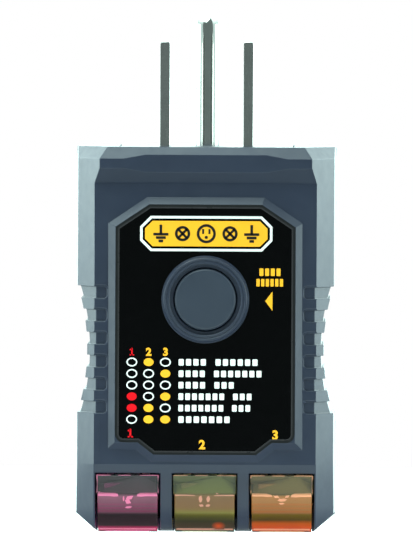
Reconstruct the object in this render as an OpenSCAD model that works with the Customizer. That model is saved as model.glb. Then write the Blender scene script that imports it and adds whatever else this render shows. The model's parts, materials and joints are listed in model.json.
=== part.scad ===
// Three-lamp receptacle tester with a ground-fault test button.
// It stands on its lamp end with the prongs up and the label face towards -Y.
// X runs left to right across the label, and Z is the height above the lamp end.
// Depths are measured back from the front face and set into the frame by placed().

/* [Body] */
// Height from the lamp end to the plug face
body_h = 58.85; // [58:0.05:62]
// Widest part of the case, from just behind the shells' joint to the back
body_w = 39.7; // [39.4:0.1:41]
// Width of the flat front face, between the side bevels
face_w = 33.74; // [33:0.02:34]
// Depth from the front face to the back face
body_d = 27; // [27:0.5:32]
// Depth of the joint between the front and rear shells
split_d = 13.5; // [13.5:0.1:14]
// Wall thickness of both shells
wall = 1.8; // [1.5:0.1:2]
// Depth over which each side bevel widens the case
side_bevel_d = 5.5; // [5:0.1:6]
// How far each side wall leans out from the bevel to the widest part
side_draft = 0.35; // [0:0.05:0.5]
// Width of the cuts at the lamp end's corners
corner_w = 3.3; // [2:0.1:3.4]
// Height of the cuts at the lamp end's corners
corner_h = 2.8; // [2:0.1:3.4]
// Bevel along the back edges
back_bevel = 0.6; // [0.5:0.1:2]
// Radius of the rounded nose that leads to the lamp end
nose_r = 6.08; // [5.5:0.02:6.2]
// Lean of the sloped band above the nose, in degrees
nose_lean = 20; // [18:1:24]

/* [Waist and grips] */
// Height of the middle of the waist
waist_z = 28; // [27:0.1:29]
// How far the waist pulls in each side
waist_depth = 1.87; // [1.3:0.01:2.1]
// Radius of the waist's arc
waist_r = 31.5; // [28:0.5:36]
// Number of grip slots on each side
slots = 6; // [2:1:6]
// Distance from one grip slot to the next
slot_pitch = 3.49; // [3.4:0.01:3.6]
// Height of a grip slot
slot_h = 1.8; // [1.2:0.01:2]
// Depth of a grip slot
slot_depth = 0.42; // [0.2:0.01:0.6]
// Distance from the middle of the face to the slots' inner ends
slot_reach = 15; // [14.9:0.1:16]

/* [Ridge] */
// Height at which the ridge across the top starts
ridge_z = 53.4; // [53:0.1:54]
// How far the ridge stands out at its ends
ridge_end_p = 1.54; // [1.3:0.01:1.6]
// How far the ridge stands out in the middle
ridge_mid_p = 1.12; // [0.8:0.01:1.2]
// How far the top front edge stands out
ridge_top_p = 0.28; // [0.1:0.01:0.4]
// Half width of the top front edge, between the cut corners
ridge_top_w = 14.97; // [14:0.01:16]
// Half width of the set-back middle of the ridge
ridge_mid_w = 9.2; // [7:0.1:10]
// Half width at which the ridge's ends start
ridge_flat_w = 12.55; // [11:0.05:14]

/* [Label] */
// Width of the label
label_w = 26.2; // [25:0.1:26.4]
// Height of the label's top edge
label_top = 49.55; // [49:0.05:49.8]
// Height of the label's bottom edge
label_bottom = 12.65; // [12.2:0.05:13]
// Thickness of the label
label_t = 0.2; // [0.1:0.05:0.3]
// How far the label's panel stands out from the front face
panel_p = 0.9; // [0.6:0.05:1]
// Width of the bevel round the panel
panel_bevel = 1.05; // [0.8:0.05:1.1]
// Width of the flat rim between the bevel and the label
panel_rim = 0.6; // [0.4:0.05:0.7]

/* [Test button] */
// Height of the button's axis
button_z = 35.7; // [35:0.1:36]
// Radius of the button's face
button_r = 4.7; // [4:0.1:4.8]
// How far the button's face stands out from the front face
button_p = 1.5; // [1.2:0.05:1.6]
// Travel of the button
button_travel = 1; // [0.8:0.05:1]
// How far the collar round the button stands out from the front face
collar_p = 1.7; // [1.5:0.05:1.8]
// Radius of the return spring's coil
spring_r = 3; // [2.8:0.05:3.2]
// Radius of the spring's wire
spring_wire_r = 0.28; // [0.2:0.02:0.3]
// Turns in the return spring
spring_turns = 4; // [3:0.5:4.5]

/* [Prongs] */
// Distance between the two blades, middle to middle
blade_pitch = 12.7; // [12.7:0.1:12.7]
// Thickness of a blade
blade_t = 1.5; // [1.4:0.05:1.6]
// Width of a blade
blade_w = 6.35; // [6.2:0.05:6.5]
// Length of the blades beyond the plug face
blade_l = 17.5; // [15.9:0.1:18.3]
// Depth of the blades' middle
blade_d = 7.5; // [7.4:0.1:7.6]
// Distance from the blades back to the ground pin
ground_offset = 11.9; // [11.9:0.1:11.9]
// Radius of the ground pin
ground_r = 2.375; // [2.3:0.005:2.4]
// Length of the ground pin beyond the plug face
ground_l = 20.6; // [19:0.1:21]

/* [Lamps] */
// Width of a lens
lens_w = 9.6; // [9:0.1:9.8]
// Distance from one lens to the next
lens_pitch = 11.72; // [11.6:0.02:12]
// Height of the lenses
lens_h = 9.05; // [8.5:0.05:9.2]
// How far the lenses stand out from the nose
lens_p = 0.3; // [0.2:0.05:0.4]
// Wall thickness of a lens
lens_wall = 1.2; // [0.8:0.1:1.4]
// Depth at which the lenses end
lens_end_d = 12; // [11:0.5:12.5]
// Radius of a neon lamp's glass
lamp_r = 2.2; // [1.8:0.1:2.4]

/* [Inside] */
// Depth of the circuit board's front side
board_d = 10.8; // [10.8:0.1:11]
// Thickness of the circuit board
board_t = 1.6; // [1:0.1:1.6]
// Distance between the two case screws
screw_pitch = 25.2; // [24.8:0.1:25.4]
// Radius of a case screw's shank
screw_r = 1.25; // [1.1:0.05:1.3]

/* [Hidden] */
$fn = 64;
eps = 0.01;
// How much shorter a side cut at 45 degrees is, for each millimetre that the outline moves in
mitre = 0.414;
big = 200;
// Gap left between fixed pieces that sit in each other
fit = 0.1;
// Gap round the lenses and the prong plate, which shows as a dark line
reveal = 0.15;
// Room left between the button and what it slides in
slide_gap = 0.15;

// The frame's Y origin is halfway between the collar's crest and the back face
mid_d = (body_d - collar_p) / 2;

// Half width gained for each millimetre of depth, along the side bevel and the wall behind it
bevel_k = ((body_w - face_w) / 2 - side_draft) / side_bevel_d;
widest_d = split_d + 1;
side_k = side_draft / (widest_d - side_bevel_d);
bevel_len = sqrt(1 + bevel_k * bevel_k);
// The front shell ends this far above the lenses' and the rear shell's resting faces
front_foot = 0.3;
// The top corners of the case lean in above this height
crest_top = body_h - (ridge_end_p - ridge_top_p) / tan(35);
crest_low = ridge_z + ridge_end_p / tan(35);
top_lean = 0.06;

waist_centre_x = body_w / 2 - waist_depth + waist_r;

// Centre of the nose's arc, as depth and height
nose_d = 8;
nose_z = front_foot + nose_r;

ground_d = blade_d + ground_offset;
ground_root_r = ground_r + 0.225;
plate_half_w = 13.3;
plate_d = [3.2, 23.8];
// The carrier's core, which the prongs pass through, and the retainer under it
core_half_w = 10;
core_d = [3.4, 23.2];
carrier_z = 50.6;
retainer_t = 1.75;
press = 0.03;
shoulder_z = [51.2, 52.6];
shoulder_r = 3.2;
shoulder_w = 0.8;
// Blade tip: corner cuts seen from the side, and slopes seen from the front
tip_h = 1.6;
tip_w = 1.3;
tip_slope = 0.45;
tip_slope_h = 1.9;

flange_r = 6;
flange_d = wall + 0.1;
flange_t = 1.1;
stem_r = 2;
seat_d = 7.6;
seat_t = 0.6;
housing_r = 5;
bridge_t = 0.45;
bridge_r = 3;
contact_x = 1.9;
contact_r = 0.8;
contact_d = board_d - 0.7;
stem_end_d = contact_d - button_travel - 0.05 - bridge_t;

screw_seat_d = 20;
head_r = 2.3;
head_t = 1.5;
boss_r = 2.3;
screw_tip_d = 9;

tab_h = 2.6;
tab_front = 2.2;
board_tongue_w = 4;
strap_z = 46.6;
strap_t = 0.6;
strap_w = 4;
strap_foot = 4;
tail_r = 1.2;

lens_step_z = 6;
lens_step = 0.2;
// The lens's top wall ends here, so that the lamp can pass
lens_roof_d = 3.2;
lamp_d = 7.4;
lamp_z = [3.3, 11.5];
lamp_wall = 0.4;
baffle_half_w = 16.5;
baffle_d = [4.4, 10.4];
baffle_z = [lens_h + 0.4, 12.6];
reflector_half_w = 3.3;
reflector_t = 0.6;
reflector_z = 3.2;
ledge_d = 3.3;
ledge_z = [5.45, 6.2];

board_half_w = 14.4;
board_z = [13, 50.4];
tab_root_z = 43.6;
contact_tail_r = 0.5;

// ---------------------------------------------------------------- helpers

// Moves a piece drawn with depths from the front face into the part's frame
module placed() translate([0, -mid_d, 0]) children();

// Extrudes an X-Z outline back from depth d0 to depth d1
module along_depth(d0, d1)
    translate([0, d1, 0]) rotate([90, 0, 0]) linear_extrude(d1 - d0) children();

// Extrudes a depth-height outline across X from x0 to x1
module across(x0, x1)
    translate([x0, 0, 0]) rotate([90, 0, 90]) linear_extrude(x1 - x0) children();

// A cylinder along the depth, at a place on the face
module depth_cylinder(x, z, r, d0, d1)
    translate([x, d1, z]) rotate([90, 0, 0]) cylinder(r = r, h = d1 - d0);

// A box from its lowest corner to its highest corner
module block(low, high) translate(low) cube(high - low);

module both_sides() {
    children();
    mirror([1, 0, 0]) children();
}

function unit(v) = v / norm(v);

// Moves every side of a counter-clockwise outline out by o, with sharp corners
function grown(points, o) = [
    for (i = [0:len(points) - 1])
        let (
            n = len(points),
            before = unit(points[i] - points[(i + n - 1) % n]),
            after = unit(points[(i + 1) % n] - points[i]),
            n0 = [before.y, -before.x],
            n1 = [after.y, -after.x]
        )
        points[i] + (n0 + n1) * o / (1 + n0 * n1)
];

// A slab on the front whose rim slopes: outline grown by o0 at depth d0, by o1 at depth d1.
// Each end is a fan of triangles round a hub that sees every corner.
module sloped_slab(points, hub, o0, d0, o1, d1) {
    n = len(points);
    back = grown(points, o0);
    front = grown(points, o1);
    polyhedron(
        points = concat(
            [for (p = back) [p.x, d0, p.y]], [for (p = front) [p.x, d1, p.y]],
            [[hub.x, d0, hub.y], [hub.x, d1, hub.y]]
        ),
        faces = [
            for (i = [0:n - 1])
                let (j = (i + 1) % n)
                each [[2 * n, i, j], [2 * n + 1, n + j, n + i], [i, n + i, n + j], [i, n + j, j]]
        ]
    );
}

// ---------------------------------------------------------------- outlines

// Half width of the bevelled front at a depth, t inside the outer surface
function bevel_x(d, t = 0) = face_w / 2 + bevel_k * d - t * bevel_len;
function side_x(d, t = 0) = body_w / 2 - t - side_k * (widest_d - d);
function bevel_end_d(t) = (side_x(0, t) - face_w / 2 + t * bevel_len) / (bevel_k - side_k);

// The case seen from above: half width against depth, t inside the outer surface
module plan(t) {
    half = [
        [bevel_x(t, t), t],
        [side_x(bevel_end_d(t), t), bevel_end_d(t)],
        [body_w / 2 - t, widest_d],
        [body_w / 2 - t, body_d - back_bevel - t * mitre],
        [body_w / 2 - back_bevel - t * mitre, body_d - t]
    ];
    polygon(concat(half, [for (i = [4:-1:0]) [-half[i].x, half[i].y]]));
}

// The case seen from the front, t inside the outer surface, standing at height foot
module silhouette(t, foot) {
    w = body_w / 2 - t;
    low_w = w - corner_w - t * mitre;
    low_z = foot + t + corner_h + t * mitre;
    difference() {
        polygon([
            [-low_w, foot + t], [low_w, foot + t], [w, low_z],
            [w, crest_top], [w - top_lean, body_h - t],
            [-w + top_lean, body_h - t], [-w, crest_top], [-w, low_z]
        ]);
        for (side = [-1, 1])
            translate([side * waist_centre_x, waist_z]) circle(r = waist_r + t, $fn = 180);
    }
}

// The front seen from the side: face, lean and nose, as depth and height, t inside the surface
function nose_arc(t, steps = 7) = [
    for (i = [0:steps])
        let (a = 90 - (90 - nose_lean) * i / steps)
        [nose_d - (nose_r - t) * cos(a), nose_z - (nose_r - t) * sin(a)]
];
function nose_bend(t) =
    let (
        p = nose_arc(t)[7],
        run = (p.x - t) / sin(nose_lean)
    )
    [t, p.y + run * cos(nose_lean)];
function nose_side(t) = concat(nose_arc(t), [nose_bend(t)]);

module side_profile(t)
    polygon(concat([[big, front_foot + t]], nose_side(t), [[t, body_h - t], [big, body_h - t]]));

// One level of the front seen from above, from the left joint round the face to the right joint
function level(z, d, w, side_d, lean = 0) =
    let (half = [[w, d], [side_x(side_d, lean), side_d], [side_x(widest_d, lean), widest_d]])
    concat(
        [for (i = [2:-1:0]) [-half[i].x, half[i].y, z]],
        [for (p = half) [p.x, p.y, z]]
    );

// The front's levels from the lamp end up: nose, face and the ridge across the top.
// The top corner's facet starts as far back as it takes to be flat.
function front_levels() =
    let (
        crest_w = bevel_x(-ridge_end_p),
        run = side_bevel_d + ridge_end_p,
        rise = side_x(side_bevel_d) - crest_w,
        reach = (side_x(-ridge_top_p, top_lean) - ridge_top_w) / (rise - side_k * run),
        top_side_d = -ridge_top_p + reach * run
    )
    concat(
        [for (p = nose_side(0)) level(p.y, p.x, face_w / 2, p.x + side_bevel_d)],
        [
            level(ridge_z, 0, face_w / 2, side_bevel_d),
            level(crest_low, -ridge_end_p, crest_w, side_bevel_d),
            level(crest_top, -ridge_end_p, crest_w, side_bevel_d),
            level(body_h, -ridge_top_p, ridge_top_w, top_side_d, top_lean)
        ]
    );

// A solid through levels that all have the same number of corners
module loft(levels) {
    n = len(levels[0]);
    last = (len(levels) - 1) * n;
    polyhedron(
        points = [for (ring = levels) for (p = ring) p],
        faces = concat(
            [[for (i = [0:n - 1]) i]],
            [[for (i = [n - 1:-1:0]) last + i]],
            [for (k = [0:n:last - n]) for (i = [0:n - 1])
                [k + i, k + n + i, k + n + (i + 1) % n, k + (i + 1) % n]]
        )
    );
}

// The front's outer solid, with the ridge set back in the middle
module front_block()
    difference() {
        loft(front_levels());
        translate([0, 0, ridge_z - 1]) linear_extrude(body_h - ridge_z + 2)
            polygon([
                [-ridge_flat_w, -ridge_end_p - eps], [-ridge_mid_w, -ridge_mid_p],
                [ridge_mid_w, -ridge_mid_p], [ridge_flat_w, -ridge_end_p - eps],
                [ridge_flat_w, -4], [-ridge_flat_w, -4]
            ]);
    }

// Grip slots: bars cut round the side down to a surface slot_depth inside the case,
// which runs straight out at the back
module slot_cuts(d0, d1) {
    r = 0.5;
    difference() {
        both_sides()
            for (i = [0:slots - 1])
                along_depth(d0, d1)
                    translate([slot_reach, waist_z - (slots - 1) * slot_pitch / 2 + i * slot_pitch]) {
                        translate([r, -slot_h / 2]) square([8, slot_h]);
                        translate([0, -slot_h / 2 + r]) square([8, slot_h - 2 * r]);
                        for (s = [-1, 1]) translate([r, s * (slot_h / 2 - r)]) circle(r = r);
                    }
        difference() {
            translate([0, 0, 10]) linear_extrude(40)
                for (back = [0, 2]) translate([0, back]) plan(slot_depth);
            for (side = [-1, 1])
                translate([side * waist_centre_x, 0, waist_z]) rotate([-90, 0, 0])
                    cylinder(r = waist_r + slot_depth, h = big, center = true, $fn = 180);
        }
    }
}

// The label's outline, counter-clockwise from its lower left
function label_tab_z() = label_bottom + 1.85;
function label_outline() =
    let (w = label_w / 2, z = label_tab_z())
    [
        [-7.6, label_bottom], [7.6, label_bottom], [10, z], [w, z],
        [w, label_top - 3.15], [w - 4.7, label_top],
        [-w + 4.7, label_top], [-w, label_top - 3.15], [-w, z], [-10, z]
    ];

// The label's flat shape, grown by o, with its lower corners rounded
module label_shape(o = 0) {
    r = 0.75;
    difference() {
        polygon(grown(label_outline(), o));
        for (side = [-1, 1])
            translate([side * (label_w / 2 - r), label_tab_z() + r]) difference() {
                translate([side > 0 ? 0 : -2, -2]) square(2);
                circle(r = r + o);
            }
    }
}

// Window round the prong plate in the top wall
module plate_window()
    block([-plate_half_w, plate_d[0], body_h - wall - 1], [plate_half_w, plate_d[1], body_h + 1]);

// ---------------------------------------------------------------- shells

module front_shell() color("#36434f") placed() {
    difference() {
        union() {
            difference() {
                intersection() {
                    front_block();
                    along_depth(-5, split_d) silhouette(0, front_foot);
                }
                intersection() {
                    along_depth(wall, split_d + 1) silhouette(wall, front_foot);
                    translate([0, 0, -1]) linear_extrude(body_h + 2) plan(wall);
                    across(-big, big) side_profile(wall);
                }
                slot_cuts(-3, split_d + 1);
                for (i = [-1:1]) lens_window(i);
                plate_window();
            }
            sloped_slab(
                label_outline(), [0, button_z],
                panel_rim + panel_bevel, eps, panel_rim, -panel_p
            );
            button_collar();
            both_sides() depth_cylinder(screw_pitch / 2, waist_z, boss_r, wall - eps, split_d + 0.4);
        }
        label_recess();
        depth_cylinder(0, button_z, button_r + slide_gap, -5, wall + 1);
        both_sides()
            depth_cylinder(screw_pitch / 2, waist_z, screw_r + 0.02, screw_tip_d - 1, split_d + 1);
    }
}

module lens_window(i)
    block(
        [i * lens_pitch - lens_w / 2 - reveal, -2, -1],
        [i * lens_pitch + lens_w / 2 + reveal, lens_end_d + reveal, lens_h + reveal]
    );

module label_recess()
    difference() {
        along_depth(-panel_p - 1, -panel_p + label_t) label_shape(0.06);
        depth_cylinder(0, button_z, 6.65, -5, 1);
    }

// Two rounded rings round the button, with a groove inside them
module button_collar()
    translate([0, 0, button_z]) rotate([90, 0, 0]) rotate_extrude()
        polygon([
            [5.4, -0.6], [5.4, collar_p - 0.22], [5.5, collar_p - 0.1], [5.65, collar_p - 0.06],
            [5.78, collar_p - 0.12], [5.88, collar_p - 0.24], [6, collar_p - 0.08],
            [6.14, collar_p], [6.28, collar_p - 0.05], [6.42, collar_p - 0.25],
            [6.65, panel_p - label_t - 0.1], [6.65, -0.6]
        ]);

module rear_shell() color("#36434f") placed() {
    difference() {
        union() {
            difference() {
                intersection() {
                    along_depth(split_d, body_d) silhouette(0, 0);
                    translate([0, 0, -1]) linear_extrude(body_h + 2) plan(0);
                }
                intersection() {
                    along_depth(split_d - 1, body_d - wall) silhouette(wall, 0);
                    translate([0, 0, -1]) linear_extrude(body_h + 2) plan(wall);
                }
                slot_cuts(split_d - 1, body_d + 1);
                plate_window();
                rear_panel();
            }
            both_sides()
                depth_cylinder(screw_pitch / 2, waist_z, 3.4, split_d + 0.5, body_d - wall + eps);
        }
        both_sides() {
            depth_cylinder(screw_pitch / 2, waist_z, head_r + 0.3, screw_seat_d, body_d + 1);
            depth_cylinder(screw_pitch / 2, waist_z, screw_r + 0.15, split_d, screw_seat_d + eps);
        }
    }
}

// Shallow plain panel in the middle of the back
module rear_panel()
    along_depth(body_d - 0.4, body_d + 1) polygon([
        [-8.2, 12], [8.2, 12], [9.6, 13.4], [9.6, 47.6], [8.2, 49], [-8.2, 49], [-9.6, 47.6], [-9.6, 13.4]
    ]);

module front_label() color("black") placed()
    difference() {
        along_depth(-panel_p, -panel_p + label_t) label_shape();
        depth_cylinder(0, button_z, 6.7, -5, 1);
    }

// ---------------------------------------------------------------- prongs

// Plate that fills the window in the top and holds the prongs
module prong_carrier() color("#36434f") placed()
    difference() {
        union() {
            block(
                [-plate_half_w + reveal, plate_d[0] + reveal, body_h - wall - 1],
                [plate_half_w - reveal, plate_d[1] - reveal, body_h]
            );
            block(
                [-plate_half_w - 1.2, plate_d[0] - 0.9, body_h - wall - 1.7],
                [plate_half_w + 1.2, plate_d[1] + 0.9, body_h - wall - fit]
            );
            block([-core_half_w, core_d[0], carrier_z], [core_half_w, core_d[1], body_h - wall - 1]);
        }
        for (side = [-1, 1]) translate([side * blade_pitch / 2, 0, 0]) {
            block(
                [-blade_t / 2 - press, blade_d - blade_w / 2 - press, carrier_z - 1],
                [blade_t / 2 + press, blade_d + blade_w / 2 + press, body_h + 1]
            );
            block(
                [-blade_t / 2 - press, blade_d - blade_w / 2 - shoulder_w - press, carrier_z - 1],
                [blade_t / 2 + press, blade_d + blade_w / 2 + shoulder_w + press, shoulder_z[1] + fit]
            );
        }
        translate([0, ground_d, carrier_z - 1]) cylinder(r = ground_root_r + press, h = 20);
        translate([0, ground_d, carrier_z - 1])
            cylinder(r = shoulder_r + press, h = shoulder_z[1] + fit - carrier_z + 1);
    }

// Plate under the carrier that traps the prongs' shoulders
module prong_retainer() color("#4a5560") placed()
    difference() {
        block(
            [-core_half_w, core_d[0], carrier_z - 0.05 - retainer_t],
            [core_half_w, core_d[1], carrier_z - 0.05]
        );
        for (side = [-1, 1]) translate([side * blade_pitch / 2, 0, 0])
            block(
                [-blade_t / 2 - press, blade_d - tab_front - fit, carrier_z - 3],
                [blade_t / 2 + press, blade_d + blade_w / 2 + press, carrier_z + 1]
            );
        translate([0, ground_d, carrier_z - 3]) cylinder(r = tail_r + 0.6, h = 5);
        block(
            [-board_tongue_w, board_d - reveal, carrier_z - 3],
            [board_tongue_w, board_d + board_t + reveal, carrier_z + 1]
        );
    }

// A stamped blade: bevelled tip, shoulders in the carrier, and a tab through the board
module blade(x) translate([x, 0, 0]) {
    w = blade_w / 2;
    tip = body_h + blade_l;
    low = shoulder_z[0] - 0.2;
    front = blade_d - tab_front;
    back = blade_d + w - 0.3;
    tab_end = board_d + board_t + 0.8;
    across(-blade_t / 2, blade_t / 2) polygon([
        [front, tab_root_z], [tab_end, tab_root_z],
        [tab_end, tab_root_z + tab_h], [back, tab_root_z + tab_h],
        [back, low], [blade_d + w + shoulder_w, low],
        [blade_d + w + shoulder_w, shoulder_z[1]], [blade_d + w, shoulder_z[1]],
        [blade_d + w, tip - tip_h], [blade_d + w - tip_w, tip],
        [blade_d - w + tip_w, tip], [blade_d - w, tip - tip_h],
        [blade_d - w, shoulder_z[1]], [blade_d - w - shoulder_w, shoulder_z[1]],
        [blade_d - w - shoulder_w, low], [front, low]
    ]);
}

// The tip's two broad sides slope in towards the end
module tipped_blade(x)
    difference() {
        blade(x);
        translate([x, 0, body_h + blade_l]) both_sides()
            along_depth(0, 2 * blade_d) polygon([
                [blade_t / 2 - tip_slope, 1], [blade_t / 2 - tip_slope, 0],
                [blade_t / 2, -tip_slope_h], [blade_t, -tip_slope_h], [blade_t, 1]
            ]);
    }

module hot_blade() color("#b9b9b4") placed() tipped_blade(blade_pitch / 2);

module neutral_blade() color("#b9b9b4") placed() tipped_blade(-blade_pitch / 2);

// Round ground pin with a domed end, a thicker root in the carrier, a shoulder and a thin tail
module ground_pin() color("#c4c5c2") placed()
    translate([0, ground_d, 0]) {
        tip = body_h + ground_l;
        translate([0, 0, body_h - eps]) cylinder(r = ground_r, h = tip - ground_r - body_h + eps);
        translate([0, 0, shoulder_z[0]]) cylinder(r = ground_root_r, h = body_h - shoulder_z[0]);
        translate([0, 0, tip - ground_r]) rotate_extrude() intersection() {
            circle(r = ground_r);
            square(ground_r);
        }
        translate([0, 0, shoulder_z[0] - 0.2])
            cylinder(r = shoulder_r, h = shoulder_z[1] - shoulder_z[0] + 0.2);
        translate([0, 0, strap_z - strap_t]) cylinder(r = tail_r, h = shoulder_z[0] - strap_z + strap_t);
    }

// Strip from the ground pin's tail to the back of the board
module ground_strap() color("#c9a24a") placed() {
    board_back = board_d + board_t;
    difference() {
        union() {
            block([-strap_w / 2, board_back, strap_z], [strap_w / 2, ground_d, strap_z + strap_t]);
            translate([0, ground_d, strap_z]) cylinder(r = strap_w / 2, h = strap_t);
            block(
                [-strap_w / 2, board_back, strap_z - strap_foot],
                [strap_w / 2, board_back + strap_t, strap_z + eps]
            );
        }
        translate([0, ground_d, strap_z - 1]) cylinder(r = tail_r + 0.02, h = 3);
    }
}

// ---------------------------------------------------------------- test switch

module test_button() color("#41535f") placed() {
    rim = 0.45;
    depth_cylinder(0, button_z, button_r, -button_p + rim, flange_d);
    translate([0, -button_p + rim, button_z]) rotate([90, 0, 0]) rotate_extrude()
        union() {
            square([button_r - rim, rim]);
            intersection() {
                translate([button_r - rim, 0]) circle(r = rim);
                translate([button_r - rim, 0]) square(rim);
            }
        }
    depth_cylinder(0, button_z, flange_r, flange_d, flange_d + flange_t);
    depth_cylinder(0, button_z, stem_r, flange_d + flange_t, stem_end_d);
}

// Brass disc on the stem that joins the two contacts when the button is in
module contact_bridge() color("#c9a24a") placed()
    depth_cylinder(0, button_z, bridge_r, stem_end_d, stem_end_d + bridge_t);

// Centre line of the spring at turn fraction u, with flat end turns
function spring_y(u) =
    let (
        start = flange_d + flange_t + spring_wire_r + 0.02,
        finish = seat_d - spring_wire_r - 0.02,
        rest = 0.5 / spring_turns
    )
    u < rest ? start : u > 1 - rest ? finish
    : start + (finish - start) * (u - rest) / (1 - 2 * rest);

module return_spring() color("silver") placed() {
    steps = 18 * spring_turns;
    sides = 6;
    ring = [for (i = [0:steps]) let (u = i / steps, a = 360 * spring_turns * u)
        for (j = [0:sides - 1]) let (b = 360 * j / sides, r = spring_r + spring_wire_r * cos(b))
            [r * cos(a), spring_y(u) + spring_wire_r * sin(b), button_z + r * sin(a)]];
    polyhedron(
        points = ring,
        faces = concat(
            [[for (j = [sides - 1:-1:0]) j]],
            [[for (j = [0:sides - 1]) steps * sides + j]],
            [for (i = [0:steps - 1]) for (j = [0:sides - 1])
                let (k = i * sides, m = (j + 1) % sides)
                [k + j, k + m, k + sides + m, k + sides + j]]
        )
    );
}

// Cup on the board that seats the spring and covers the contacts
module switch_housing() color("#e5e2d8") placed()
    difference() {
        depth_cylinder(0, button_z, housing_r, seat_d, board_d);
        depth_cylinder(0, button_z, stem_r + 0.2, seat_d - 1, board_d + 1);
        depth_cylinder(0, button_z, housing_r - 1.2, seat_d + seat_t, board_d + 1);
    }

module switch_contacts() color("#c9a24a") placed()
    both_sides() {
        depth_cylinder(contact_x, button_z, contact_r, contact_d, board_d);
        depth_cylinder(contact_x, button_z, contact_tail_r, board_d - eps, board_d + board_t + 0.5);
    }

// ---------------------------------------------------------------- board

module circuit_board() color("#2f6b3c") placed()
    difference() {
        block([-board_half_w, board_d, board_z[0]], [board_half_w, board_d + board_t, board_z[1]]);
        both_sides() {
            depth_cylinder(screw_pitch / 2, waist_z, boss_r + fit, board_d - 1, board_d + board_t + 1);
            block(
                [screw_pitch / 2, board_d - 1, waist_z - boss_r - fit],
                [board_half_w + 1, board_d + board_t + 1, waist_z + boss_r + fit]
            );
            depth_cylinder(contact_x, button_z, contact_tail_r + 0.02, board_d - 1, board_d + board_t + 1);
            block(
                [blade_pitch / 2 - blade_t / 2 - press, board_d - 1, tab_root_z - press],
                [blade_pitch / 2 + blade_t / 2 + press, board_d + board_t + 1, tab_root_z + tab_h + press]
            );
            block(
                [board_tongue_w - fit, board_d - 1, carrier_z - retainer_t - 0.4],
                [board_half_w + 1, board_d + board_t + 1, board_z[1] + 1]
            );
        }
    }

// An axial resistor on the back of the board, along X: coloured body and bent leads
module resistor(x, z, r, l, reach) {
    d = board_d + board_t + r + 0.3;
    lead = 0.3;
    translate([x, d, z]) rotate([0, 90, 0]) {
        cylinder(r = r, h = l * 0.56, center = true);
        for (s = [-1, 1])
            translate([0, 0, s * l * 0.38]) cylinder(r = r * 1.12, h = l * 0.24, center = true);
        cylinder(r = lead, h = 2 * reach, center = true);
    }
    for (s = [-1, 1])
        depth_cylinder(x + s * (reach - lead), z, lead, board_d + board_t, d);
}

module test_resistor() color("#7b8fa3") placed() resistor(0, 29.5, 2, 11, 7.6);

module lamp_resistor_1() color("#c8a878") placed() resistor(-7, 22.6, 1.15, 6.3, 4.6);

module lamp_resistor_2() color("#c8a878") placed() resistor(0, 18.6, 1.15, 6.3, 4.6);

module lamp_resistor_3() color("#c8a878") placed() resistor(7, 22.6, 1.15, 6.3, 4.6);

// ---------------------------------------------------------------- lamps

// A lens's side profile, t inside its outer surface
module lens_profile(t, end_d)
    polygon(concat(
        [[end_d, t]],
        [for (i = [0:7]) let (a = 90 - 60 * i / 7)
            [nose_d - (nose_r + lens_p - t) * cos(a), nose_z - (nose_r + lens_p - t) * sin(a)]],
        [[nose_bend(0).x + (nose_bend(0).y - lens_step_z) * tan(nose_lean) - 0.5 + t, lens_step_z],
         [0.15 + t, lens_h - t], [end_d, lens_h - t]]
    ));

// A hollow lens cap, a little narrower below the step in its sides
module lens(i) translate([i * lens_pitch, 0, 0])
    difference() {
        union() {
            intersection() {
                across(-lens_w / 2, lens_w / 2) lens_profile(0, lens_end_d);
                block([-big, -5, lens_step_z], [big, lens_end_d, lens_h + 1]);
            }
            across(-lens_w / 2 + lens_step, lens_w / 2 - lens_step) lens_profile(0, lens_end_d);
        }
        across(-lens_w / 2 + lens_wall, lens_w / 2 - lens_wall) lens_profile(lens_wall, lens_end_d + 1);
        block([-big, lens_roof_d, lens_h - lens_wall - eps], [big, big, big]);
    }

module red_lens() color("#d23a7a") placed() lens(-1);

module centre_amber_lens() color("#9a7a2a") placed() lens(0);

module right_amber_lens() color("#e08a30") placed() lens(1);

// White block above the lenses that holds the lamps, with a reflector behind each lamp.
// The two outer reflectors have a ledge on each side of their lamp.
module lamp_baffle() color("#d8d8d0") placed()
    difference() {
        union() {
            block([-baffle_half_w, baffle_d[0], baffle_z[0]], [baffle_half_w, baffle_d[1], baffle_z[1]]);
            for (i = [-1:1]) translate([i * lens_pitch, 0, 0])
                block(
                    [-reflector_half_w, baffle_d[1] - reflector_t, reflector_z],
                    [reflector_half_w, baffle_d[1], baffle_z[0] + eps]
                );
            for (i = [-1, 1]) translate([i * lens_pitch, 0, 0]) both_sides()
                along_depth(ledge_d, baffle_d[1] - eps) polygon([
                    [0.8, ledge_z[0]], [reflector_half_w, ledge_z[0]],
                    [reflector_half_w, ledge_z[1]], [lamp_r, ledge_z[1]]
                ]);
        }
        for (i = [-1:1]) translate([i * lens_pitch, lamp_d, ledge_z[0] - 1])
            cylinder(r = lamp_r + 0.15, h = baffle_z[1]);
    }

// Glass of a neon lamp, hollow, with a domed tip that points down
module neon_glass(i) translate([i * lens_pitch, lamp_d, 0]) rotate_extrude()
    difference() {
        union() {
            translate([0, lamp_z[0] + lamp_r]) square([lamp_r, lamp_z[1] - lamp_z[0] - lamp_r]);
            intersection() {
                translate([0, lamp_z[0] + lamp_r]) circle(r = lamp_r);
                translate([0, lamp_z[0]]) square([lamp_r, lamp_r]);
            }
        }
        translate([-1, lamp_z[0] + lamp_r]) square([lamp_r - lamp_wall + 1, big]);
        intersection() {
            translate([0, lamp_z[0] + lamp_r]) circle(r = lamp_r - lamp_wall);
            translate([-1, lamp_z[0]]) square([lamp_r + 1, lamp_r + eps]);
        }
    }

module red_neon_lamp() color("#e8e4df") placed() neon_glass(-1);

module centre_neon_lamp() color("#e8e4df") placed() neon_glass(0);

module right_neon_lamp() color("#e8e4df") placed() neon_glass(1);

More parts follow.
